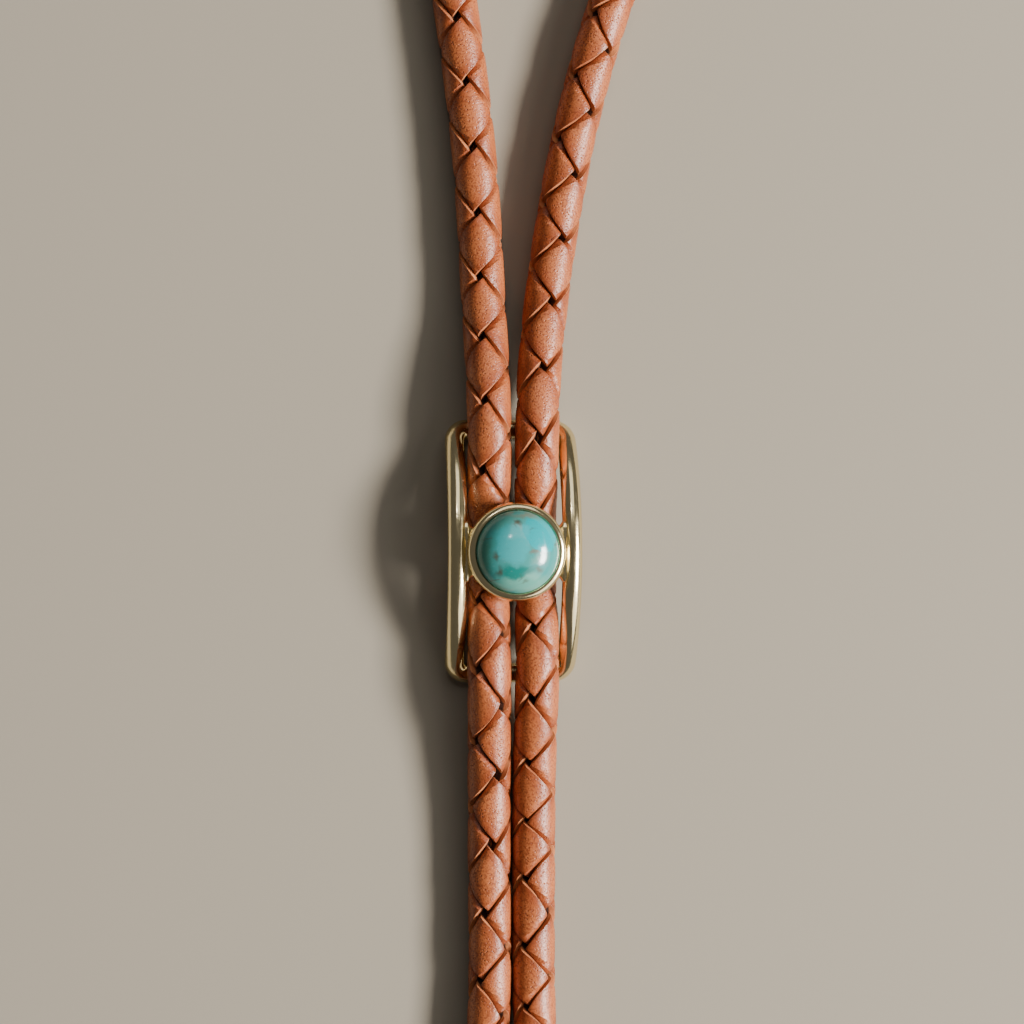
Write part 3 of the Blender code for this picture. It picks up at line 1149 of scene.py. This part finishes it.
@dataclass
class BraidedCord:
    """Round braid of four flat laces, two of each hand, each over one and under one.

    A lace swings about its middle radius as it goes over and under. Steepness is how sharply it
    changes over, fullness how much longer it stays over than under, and straightening how far the
    braid sways back and forth with each crossing, which keeps the laces' edges straight. The
    filler lies inside the four laces. The cord's radius is that of the braid at a girth of 1, and
    where that reaches past the plain radius of the route, the braid is lifted off the floor.

    The section's columns are the place across the lace as a share of its half width, the height
    over the lace's middle in millimetres, and whether the face that starts there is grain side.
    The wander's columns are the share by which a lace's width wavers, its waves in radians a
    metre, and how far the waves of one lace are from those of the next, in radians.
    """

    lace_width: float = 3.85 * MM
    middle_radius: float = 1.56 * MM
    swing: float = 0.49 * MM
    lay_radius: float = 2.0 * MM
    steepness: float = 4.4
    fullness: float = 0.19
    straightening: float = 0.3
    wander: Rows = ((0.02, 310.0, 1.7), (0.015, 733.0, 2.9))
    wander_turn: float = 0.5
    filler_radius: float = 0.95 * MM
    filler_sides: int = 12
    core_radius: float = 0.12 * MM
    cord_radius: float = 2.51 * MM
    plain_radius: float = CordRoute.cord_radius
    ring_step: float = 0.32 * MM
    leather_gap: float = 13.0 * MM
    sharp_bend: float = math.radians(27)
    section: tuple = (
        (-1.0, 0.365, False),
        (-0.985, 0.395, True),
        (-0.94, 0.412, True),
        (-0.82, 0.43, True),
        (-0.6, 0.445, True),
        (-0.3, 0.456, True),
        (0.0, 0.46, True),
        (0.3, 0.456, True),
        (0.6, 0.445, True),
        (0.82, 0.43, True),
        (0.94, 0.412, True),
        (0.985, 0.395, False),
        (1.0, 0.365, False),
        (1.03, -0.1, False),
        (1.05, -0.45, False),
        (1.12, -0.95, False),
        (0.45, -1.25, False),
        (-0.45, -1.25, False),
        (-1.12, -0.95, False),
        (-1.05, -0.45, False),
        (-1.03, -0.1, False),
    )

    def build(self, line: CordLine, placement: TiePlacement, finishes: Finishes) -> list[bpy.types.Object]:
        """Make the four laces and the filler inside them, and dress them.

        Args:
            line: the cord's centre line.
            placement: where the tie stands.
            finishes: the tie's materials.

        Returns:
            The laces and the filler.
        """
        lay = EasedLay(BraidLay(), line)
        laces = []
        for number, (hand, start) in enumerate(itertools.product(Hand, (0.0, math.pi)), start=1):
            lace = new_object(f"leather_lace_{number}", self._lace_mesh(line, lay, hand, start, number))
            placement.move(lace)
            self._dress(lace.data, finishes)
            mount(lace, MaterialSlot.LEATHER, "braided_cord")
            laces.append(lace)
        filler = new_object("leather_filler", self._filler_mesh(line))
        filler.data.materials.append(finishes.cut_edge)
        placement.move(filler)
        mount(filler, MaterialSlot.LEATHER, "braided_cord")
        return laces + [filler]

    def _filler_mesh(self, line: CordLine) -> bpy.types.Mesh:
        """The round lace that the four others are braided over.

        Args:
            line: the cord's centre line.

        Returns:
            The mesh.
        """
        distance = np.linspace(0.0, line.length, int(line.length / (2 * self.ring_step)) + 1)[:, None]
        centre, side, up = line.at(np.repeat(distance, self.filler_sides, axis=1))
        angle = np.linspace(0.0, TAU, self.filler_sides, endpoint=False)[None, :, None]
        rings = centre + self.filler_radius * (np.cos(angle) * up + np.sin(angle) * side)
        return lofted_mesh("leather_filler", rings)

    def _over(self, crossing: np.ndarray, hand: Hand) -> np.ndarray:
        """How far places on a lace are over the laces that cross it.

        Args:
            crossing: the angle between the lace and those that cross it.
            hand: the lace's hand.

        Returns:
            1 where it is over them and -1 where it is under them.
        """
        wave = np.tanh(self.steepness * (np.cos(crossing) * hand.value + self.fullness))
        high = math.tanh(self.steepness * (1.0 + self.fullness))
        low = math.tanh(self.steepness * (self.fullness - 1.0))
        return (wave - low) / (high - low) * 2.0 - 1.0

    def _lace_mesh(
        self, line: CordLine, lay: EasedLay, hand: Hand, start: float, number: int
    ) -> bpy.types.Mesh:
        """One lace, wound round the centre line from end to end.

        Args:
            line: the cord's centre line.
            lay: the braid's lay along it.
            hand: the lace's hand.
            start: the angle at which the lace starts.
            number: the lace's number.

        Returns:
            The mesh, with the notes that its leather reads.
        """
        middle = np.linspace(0.0, line.length, int(line.length / self.ring_step) + 1)
        shares = np.array([row[0] for row in self.section])
        heights = np.array([row[1] for row in self.section]) * MM
        slope = np.arctan(self.lay_radius * np.gradient(lay.lace_angle(middle), middle))
        wander = sum(share * np.sin(middle * waves + number * gap) for share, waves, gap in self.wander)
        offset = shares[None, :] * (self.lace_width / 2 * (1.0 + wander))[:, None]
        distance = middle[:, None] - hand.value * np.sin(slope)[:, None] * offset
        turn = hand.value * lay.lace_angle(middle) + start + wander * self.wander_turn
        turns = turn[:, None] + np.cos(slope)[:, None] * offset / self.lay_radius
        over = self._over(turns + hand.value * lay.lace_angle(distance) - start, hand)
        centre, side, up = line.at(distance)
        girth = lay.girth(centre[..., 1])
        radius = girth * np.maximum(self.middle_radius + self.swing * over + heights, self.core_radius)
        centre[..., 2] += np.maximum(girth * self.cord_radius - self.plain_radius, 0.0)
        sway = self.straightening / 2 * np.sin(2.0 * lay.lace_angle(distance))
        angle = (turns + lay.braid_turn(distance) - sway)[..., None]
        rings = centre + radius[..., None] * (np.cos(angle) * up + np.sin(angle) * side)
        mesh = lofted_mesh(f"leather_lace_{number}", rings)
        along = np.broadcast_to(middle[:, None], over.shape)
        across = np.broadcast_to(shares[None, :], over.shape)
        self._note(mesh, PLACE_NOTE, along, offset, radius + number * self.leather_gap)
        self._note(mesh, LAY_NOTE, across, over, (self.cord_radius - radius) / MM)
        return mesh

    @staticmethod
    def _note(mesh: bpy.types.Mesh, name: str, *columns: np.ndarray) -> None:
        """Keep a vector for each vertex, which the leather's nodes read."""
        attribute = mesh.attributes.new(name, "FLOAT_VECTOR", "POINT")
        attribute.data.foreach_set("vector", np.stack(columns, axis=-1).reshape(-1).astype(np.float32))

    def _dress(self, mesh: bpy.types.Mesh, finishes: Finishes) -> None:
        """Give a lace its grain side, and its cut edges and back.

        Args:
            mesh: the lace's mesh.
            finishes: the tie's materials.
        """
        # The mesh has one face for each row of the section and step, then its two caps.
        mesh.materials.append(finishes.lace)
        mesh.materials.append(finishes.cut_edge)
        grain_side = np.array([row[2] for row in self.section])
        cut = ~grain_side[np.arange(len(mesh.polygons)) % len(grain_side)]
        cut[-2:] = True
        mesh.polygons.foreach_set("material_index", cut.astype(np.int32))
        mesh.set_sharp_from_angle(angle=self.sharp_bend)
        mesh.update()


@dataclass
class SlideFrame:
    """Wire loop, bridge and stone cup of the slide, soldered together.

    The rows of the cup's lip are distances in from it and down from the rim, in millimetres. Bends
    are powers of a quarter turn's cosine and sine: the smaller they are, the squarer the corner.
    """

    wire_radius: float = 1.15 * MM
    end_bar: float = CordRoute.end_bar
    arch_radius: float = 20.28 * MM
    arch_top: float = 6.88 * MM
    side_bar: float = 6.55 * MM
    side_bow: float = 0.15 * MM
    corner_radius: float = 1.5 * MM
    bridge_half_width: float = 2.7 * MM
    bridge_under: float = 6.18 * MM
    bridge_top: float = 7.48 * MM
    bridge_bends: Span = (0.45, 0.6)
    fillet_reach: float = 1.4 * MM
    fillet_flare: float = 0.9 * MM
    fillet_swell: float = 0.25
    cup_radius: float = 5.75 * MM
    cup_inner_radius: float = 5.0 * MM
    cup_foot: float = 0.3 * MM
    cup_lip: float = 4.93 * MM
    cup_lip_rows: Rows = ((0.05, 0.02), (0.08, 0.08), (0.06, 0.25))
    cup_shoulder: float = 8.25 * MM
    cup_bends: Span = (0.85, 0.8)
    cup_base: float = 7.18 * MM
    cup_seat: float = 7.78 * MM
    cup_rim: float = 9.28 * MM
    cup_wall_top: float = 8.48 * MM
    wire_sides: int = 40
    bar_steps: int = 90
    corner_steps: int = 14
    end_steps: int = 12
    bridge_steps: int = 25
    bridge_sides: int = 32
    foot_steps: int = 6
    shoulder_steps: int = 18
    cup_sides: int = 128

    def build(self, placement: TiePlacement, finishes: Finishes) -> list[bpy.types.Object]:
        """Make the slide's three parts and dress them.

        Args:
            placement: where the tie stands.
            finishes: the tie's materials.

        Returns:
            The parts.
        """
        parts = []
        for name, mesh in (
            ("slide_wire", self._wire_mesh()),
            ("slide_bridge", self._bridge_mesh()),
            ("stone_cup", self._cup_mesh()),
        ):
            part = new_object(name, mesh)
            placement.move(part)
            mesh.materials.append(finishes.brass)
            mount(part, MaterialSlot.BRASS, "slide_frame")
            parts.append(part)
        return parts

    def _bar_x(self, y: float) -> float:
        """Distance of a side bar's centre line from the slide's middle line."""
        return self.side_bar + self.side_bow * (1 - (y / self.end_bar) ** 2)

    def _arch(self, y: float) -> float:
        """Height of the wire's centre line at a distance along the slide."""
        return self.arch_top - self.arch_radius + math.sqrt(self.arch_radius ** 2 - y ** 2)

    def _corner(self, x: float, y: float, first: float) -> list[tuple[float, float]]:
        """A quarter turn of the wire about a corner's middle, from the given angle."""
        turn = arc(self.corner_steps, first, first + QUARTER)
        return [(x + self.corner_radius * c, y + self.corner_radius * s) for c, s in turn]

    def _path(self) -> np.ndarray:
        """The closed centre line of the wire loop.

        Returns:
            An array of x, y and z a row.
        """
        straight = self.end_bar - self.corner_radius
        corner = self._bar_x(straight) - self.corner_radius
        half = []
        for i in range(self.bar_steps + 1):
            y = straight * (2 * i / self.bar_steps - 1)
            half.append((self._bar_x(y), y))
        half += self._corner(corner, straight, 0.0)[1:]
        half += [(corner - 2 * corner * i / self.end_steps, self.end_bar) for i in range(1, self.end_steps)]
        half += self._corner(-corner, straight, QUARTER)[:-1]
        ring = [(x, y, self._arch(y)) for x, y in half]
        return np.array(ring + [(-x, -y, z) for x, y, z in ring])

    def _wire_mesh(self) -> bpy.types.Mesh:
        """The wire loop, with the undersides of its end bars ground flat.

        Returns:
            The mesh.
        """
        path = self._path()
        along = np.roll(path, -1, axis=0) - np.roll(path, 1, axis=0)
        along /= np.linalg.norm(along, axis=1, keepdims=True)
        across = np.cross(along, (0.0, 0.0, 1.0))
        across /= np.linalg.norm(across, axis=1, keepdims=True)
        up = np.cross(across, along)
        angles = np.arange(self.wire_sides) * TAU / self.wire_sides
        rings = (
            path[:, None, :]
            + self.wire_radius * np.cos(angles)[None, :, None] * across[:, None, :]
            + self.wire_radius * np.sin(angles)[None, :, None] * up[:, None, :]
        )
        rings[:, :, 2] = np.maximum(rings[:, :, 2], 0.0)
        return lofted_mesh("slide_wire", rings, closed=True)

    def _bridge_mesh(self) -> bpy.types.Mesh:
        """The strip across the side bars, with a solder fillet where it meets each of them.

        Returns:
            The mesh.
        """
        reach = self._bar_x(0.0)
        fillet = reach - self.wire_radius - self.fillet_reach
        middle_height = (self.bridge_under + self.bridge_top) / 2
        half_thickness = (self.bridge_top - self.bridge_under) / 2
        half = np.linspace(fillet, reach, self.bridge_steps + 1)
        rings = []
        for x in np.concatenate([-half[::-1], half]):
            flare = min(max((abs(x) - fillet) / self.fillet_reach, 0.0), 1.0) ** 3
            half_width = self.bridge_half_width + self.fillet_flare * flare
            half_height = half_thickness * (1.0 + self.fillet_swell * flare)
            ring = []
            for c, s in arc(self.bridge_sides, 0.0, TAU)[:-1]:
                y = math.copysign(abs(c) ** self.bridge_bends[0], c) * half_width
                z = math.copysign(abs(s) ** self.bridge_bends[1], s) * half_height
                ring.append((x, y, middle_height + z))
            rings.append(ring)
        return lofted_mesh("slide_bridge", np.array(rings))

    def _cup_mesh(self) -> bpy.types.Mesh:
        """The turned cup, its thin rim rubbed over the stone's edge.

        Returns:
            The mesh.
        """
        profile = [(0.0, self.cup_base)]
        for c, s in arc(self.foot_steps, 0.0, QUARTER):
            inward, up = self.cup_foot * (1.0 - s), self.cup_foot * (1.0 - c)
            profile.append((self.cup_radius - inward, self.cup_base + up))
        lean, drop = self.cup_radius - self.cup_lip, self.cup_rim - self.cup_shoulder
        for c, s in arc(self.shoulder_steps, 0.0, QUARTER):
            out, up = lean * c ** self.cup_bends[0], drop * s ** self.cup_bends[1]
            profile.append((self.cup_lip + out, self.cup_shoulder + up))
        for inward, down in self.cup_lip_rows:
            profile.append((self.cup_lip - inward * MM, self.cup_rim - down * MM))
        profile += [(self.cup_inner_radius, height) for height in (self.cup_wall_top, self.cup_seat)]
        profile.append((0.0, self.cup_seat))
        return turned_mesh("stone_cup", profile, self.cup_sides)


@dataclass
class Cabochon:
    """The domed stone in its cup.

    The rows of its foot are the share of its radius and the height in millimetres.
    """

    radius: float = 4.8 * MM
    foot: Rows = ((0.94, 0.0), (0.985, 0.08), (1.0, 0.25))
    girdle: float = 0.95 * MM
    dome: float = 2.8 * MM
    base: float = 8.08 * MM
    dome_steps: int = 40
    sides: int = 128

    def build(self, placement: TiePlacement, finishes: Finishes) -> bpy.types.Object:
        """Make the stone and dress it.

        Args:
            placement: where the tie stands.
            finishes: the tie's materials.

        Returns:
            The stone.
        """
        profile = [(0.0, 0.0)] + [(self.radius * share, height * MM) for share, height in self.foot]
        for c, s in arc(self.dome_steps, 0.0, QUARTER)[:-1]:
            profile.append((self.radius * c, self.girdle + self.dome * s))
        profile.append((0.0, self.girdle + self.dome))
        stone = new_object("turquoise_cabochon", turned_mesh("turquoise_cabochon", profile, self.sides))
        placement.move(stone, up=self.base)
        stone.data.materials.append(finishes.stone)
        mount(stone, MaterialSlot.STONE, "cabochon")
        return stone


@dataclass
class CordTip:
    """A tapered brass ferrule with a bead round its mouth, on one free end of the cord.

    It lies on its bead, so the bead's radius is the height of the cord in it.
    """

    name: str
    side: int
    node: str
    offset: float = CordRoute.tip_offset
    mouth: float = -CordRoute.tip_mouth
    length: float = 28.0 * MM
    socket_depth: float = 8.0 * MM
    socket_radius: float = 2.7 * MM
    lip: float = 0.12 * MM
    lip_bevel: float = 0.3
    mouth_radius: float = 3.2 * MM
    bead_radius: float = CordRoute.tip_height
    bead_width: float = 1.2 * MM
    groove_gap: float = 0.25 * MM
    groove_depth: float = 0.1 * MM
    groove_width: float = 0.2 * MM
    taper_gap: float = 0.6 * MM
    end_radius: float = 2.3 * MM
    bead_steps: int = 12
    taper_steps: int = 12
    end_steps: int = 16
    sides: int = 72

    def _profile(self) -> list[tuple[float, float]]:
        """The tip's turned profile, from the bottom of its socket to its far end.

        Returns:
            Pairs of radius and distance from the mouth.
        """
        bevel = self.lip * self.lip_bevel
        profile = [(0.0, self.socket_depth), (self.socket_radius, self.socket_depth)]
        profile += [(self.socket_radius, self.lip), (self.socket_radius + bevel, bevel)]
        profile.append((self.socket_radius + self.lip, 0.0))
        half, swell = self.bead_width / 2, self.bead_radius - self.mouth_radius
        for c, s in arc(self.bead_steps, 0.0, math.pi):
            profile.append((self.mouth_radius + swell * s, half - half * c))
        groove = self.bead_width + self.groove_gap
        profile += [
            (self.mouth_radius - self.groove_depth, groove),
            (self.mouth_radius, groove + self.groove_width),
        ]
        straight = self.length - self.end_radius
        radii = np.linspace(self.mouth_radius, self.end_radius, self.taper_steps + 1)
        profile += list(zip(radii, np.linspace(groove + self.taper_gap, straight, self.taper_steps + 1)))
        for c, s in arc(self.end_steps, 0.0, QUARTER)[1:-1]:
            profile.append((self.end_radius * c, straight + self.end_radius * s))
        return profile + [(0.0, self.length)]

    def build(self, placement: TiePlacement, finishes: Finishes) -> bpy.types.Object:
        """Make the tip and dress it.

        Args:
            placement: where the tie stands.
            finishes: the tie's materials.

        Returns:
            The tip.
        """
        tip = new_object(self.name, turned_mesh(self.name, self._profile(), self.sides))
        placement.move(tip, across=self.side * self.offset, along=self.mouth, up=self.bead_radius)
        tip.rotation_euler.x = QUARTER
        tip.data.materials.append(finishes.brass)
        mount(tip, MaterialSlot.BRASS, self.node)
        return tip


@dataclass(frozen=True)
class SoftLight:
    """A rectangular soft light that faces the slide.

    It stands to the right and to the neck of straight above by angles in degrees, at a distance
    in metres. Its size is its level side and its other side, and its power is in watts.
    """

    name: str
    to_right: float
    to_neck: float
    distance: float
    size: Span
    power: float
    colour: Colour

    def build(self, placement: TiePlacement) -> None:
        """Set the light up.

        Args:
            placement: where the tie stands.
        """
        light_data = bpy.data.lights.new(self.name, "AREA")
        light_data.shape = "RECTANGLE"
        light_data.size, light_data.size_y = self.size
        light_data.energy = self.power
        light_data.color = self.colour
        light = new_object(self.name, light_data)
        right, neck = math.radians(self.to_right), math.radians(self.to_neck)
        way = Vector((math.tan(right), math.tan(neck), 1.0)).normalized()
        placement.move(light, *(way * self.distance))
        light.rotation_euler = way.to_track_quat("Z", "Y").to_euler()


@dataclass
class Studio:
    """Camera, soft window light and pale floor."""

    tilt: float = 7.0
    distance: float = 0.42
    view_width: float = 120.5 * MM
    aim_across: float = 0.474 * MM
    aim_along: float = 4.588 * MM
    sensor: float = 36.0
    nearest: float = 10.0 * MM
    floor_reach: float = 3.0
    floor_drop: float = 0.02 * MM
    room_colour: Colour = (0.62, 0.60, 0.58)
    room_strength: float = 0.15
    lights: tuple[SoftLight, ...] = (
        SoftLight("window", 52.0, -10.0, 1.0, (0.46, 0.24), 29.0, (1.0, 0.965, 0.92)),
        SoftLight("curtain", 50.0, -32.0, 1.2, (1.3, 0.9), 7.2, (1.0, 0.97, 0.94)),
        SoftLight("ceiling", 8.0, 40.0, 1.2, (0.7, 0.7), 1.9, (1.0, 0.98, 0.94)),
        SoftLight("far window", -10.5, 27.0, 1.1, (0.05, 0.05), 0.5, (1.0, 0.98, 0.96)),
    )

    def build(self, placement: TiePlacement) -> None:
        """Set up the camera, the floor, the room and the lights about the tie.

        Args:
            placement: where the tie stands.
        """
        self._make_camera(placement)
        self._make_floor()
        self._make_world()
        for light in self.lights:
            light.build(placement)

    def _make_camera(self, placement: TiePlacement) -> None:
        """The camera above the slide, leaning a little to the left.

        Args:
            placement: where the tie stands.
        """
        camera_data = bpy.data.cameras.new("camera")
        camera_data.sensor_width = self.sensor
        camera_data.lens = self.sensor * self.distance / self.view_width
        camera_data.clip_start = self.nearest
        camera = new_object("camera", camera_data)
        lean = math.radians(self.tilt)
        across = self.aim_across - self.distance * math.sin(lean)
        placement.move(camera, across, self.aim_along, self.distance * math.cos(lean))
        camera.rotation_euler = (0.0, -lean, 0.0)
        bpy.context.scene.camera = camera

    def _make_floor(self) -> None:
        """A wide plain floor just under the tie."""
        reach = self.floor_reach
        corners = [(-reach, -reach, 0.0), (reach, -reach, 0.0), (reach, reach, 0.0), (-reach, reach, 0.0)]
        mesh = bpy.data.meshes.new("floor")
        mesh.from_pydata(corners, [], [(0, 1, 2, 3)])
        mesh.materials.append(FloorFinish().make())
        floor = new_object("floor", mesh)
        floor.location.z = -self.floor_drop

    def _make_world(self) -> None:
        """Soft grey light from all round."""
        world = bpy.data.worlds.new("room")
        world.use_nodes = True
        background = world.node_tree.nodes["Background"]
        background.inputs["Color"].default_value = (*self.room_colour, 1.0)
        background.inputs["Strength"].default_value = self.room_strength
        bpy.context.scene.world = world


def main() -> None:
    """Build the tie's sub-assemblies in order."""
    logging.basicConfig(level=logging.INFO, format="%(name)s: %(message)s")
    placement = TiePlacement.from_frame()
    Studio().build(placement)
    finishes = Finishes.make()
    line = CordLine(CordRoute().smooth_points())
    LOG.info("cord length %.4f m", line.length)
    BraidedCord().build(line, placement, finishes)
    SlideFrame().build(placement, finishes)
    Cabochon().build(placement, finishes)
    CordTip("left_cord_tip", -1, "cord_tip_left").build(placement, finishes)
    CordTip("right_cord_tip", 1, "cord_tip_right").build(placement, finishes)


if __name__ == "__main__":
    main()
